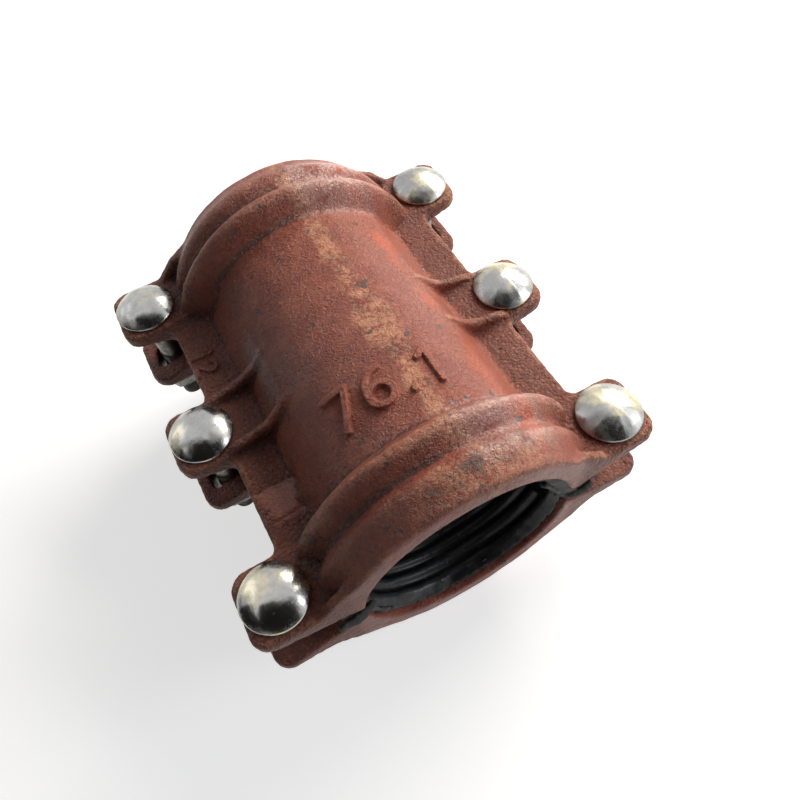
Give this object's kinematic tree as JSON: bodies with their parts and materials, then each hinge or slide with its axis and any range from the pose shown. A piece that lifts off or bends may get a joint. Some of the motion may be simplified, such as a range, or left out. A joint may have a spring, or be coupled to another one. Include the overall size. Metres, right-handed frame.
{
  "type": "pipe repair clamp",
  "caption": "Split cast clamp with a rubber lining and ridged ends, drawn round a leaking pipe by carriage bolts through lugs on both sides.",
  "frame": {"origin": "on the pipe's axis, half way along the clamp, in the plane where the halves part", "axes": "+Y along the pipe, +Z through the half that holds the bolt heads, +X across the lugs"},
  "size_m": [0.1556, 0.165, 0.1124],
  "materials": {
    "red_oxide_casting": "red-oxide paint over rough sand-cast iron, rubbed through on the crests",
    "black_rubber": "moulded rubber, satin",
    "plated_bolt": "bright zinc plating, smooth dome",
    "plated_nut": "zinc plating, satin"
  },
  "bodies": {
    "upper_half": {"upper_shell": "red_oxide_casting", "upper_gasket": "black_rubber", "carriage_bolt_front_left": "plated_bolt", "carriage_bolt_middle_left": "plated_bolt", "carriage_bolt_back_left": "plated_bolt", "carriage_bolt_front_right": "plated_bolt", "carriage_bolt_middle_right": "plated_bolt", "carriage_bolt_back_right": "plated_bolt"},
    "lower_half": {"lower_shell": "red_oxide_casting", "lower_gasket": "black_rubber", "washer_front_left": "plated_nut", "washer_middle_left": "plated_nut", "washer_back_left": "plated_nut", "washer_front_right": "plated_nut", "washer_middle_right": "plated_nut", "washer_back_right": "plated_nut"},
    "nut_front_left": {"hex_nut_front_left": "plated_nut"},
    "nut_middle_left": {"hex_nut_middle_left": "plated_nut"},
    "nut_back_left": {"hex_nut_back_left": "plated_nut"},
    "nut_front_right": {"hex_nut_front_right": "plated_nut"},
    "nut_middle_right": {"hex_nut_middle_right": "plated_nut"},
    "nut_back_right": {"hex_nut_back_right": "plated_nut"}
  },
  "joints": [
    {"name": "clamp_opening", "type": "slide", "parent": "upper_half", "child": "lower_half", "axis": [0, 0, -1], "range_m": [0, 0.012]},
    {"name": "nut_turn_front_left", "type": "hinge", "parent": "lower_half", "child": "nut_front_left", "pos_m": [-0.0654, -0.0685, -0.0245], "axis": [0, 0, -1], "range_deg": [0, 2890]},
    {"name": "nut_turn_middle_left", "type": "hinge", "parent": "lower_half", "child": "nut_middle_left", "pos_m": [-0.0654, 0, -0.0245], "axis": [0, 0, -1], "range_deg": [0, 2890]},
    {"name": "nut_turn_back_left", "type": "hinge", "parent": "lower_half", "child": "nut_back_left", "pos_m": [-0.0654, 0.0685, -0.0245], "axis": [0, 0, -1], "range_deg": [0, 2890]},
    {"name": "nut_turn_front_right", "type": "hinge", "parent": "lower_half", "child": "nut_front_right", "pos_m": [0.0654, -0.0685, -0.0245], "axis": [0, 0, -1], "range_deg": [0, 2890]},
    {"name": "nut_turn_middle_right", "type": "hinge", "parent": "lower_half", "child": "nut_middle_right", "pos_m": [0.0654, 0, -0.0245], "axis": [0, 0, -1], "range_deg": [0, 2890]},
    {"name": "nut_turn_back_right", "type": "hinge", "parent": "lower_half", "child": "nut_back_right", "pos_m": [0.0654, 0.0685, -0.0245], "axis": [0, 0, -1], "range_deg": [0, 2890]}
  ],
  "couplings": [
    {"joint": "nut_turn_front_left", "follows": "clamp_opening", "rad_per_m": 4188.8},
    {"joint": "nut_turn_middle_left", "follows": "clamp_opening", "rad_per_m": 4188.8},
    {"joint": "nut_turn_back_left", "follows": "clamp_opening", "rad_per_m": 4188.8},
    {"joint": "nut_turn_front_right", "follows": "clamp_opening", "rad_per_m": 4188.8},
    {"joint": "nut_turn_middle_right", "follows": "clamp_opening", "rad_per_m": 4188.8},
    {"joint": "nut_turn_back_right", "follows": "clamp_opening", "rad_per_m": 4188.8}
  ]
}
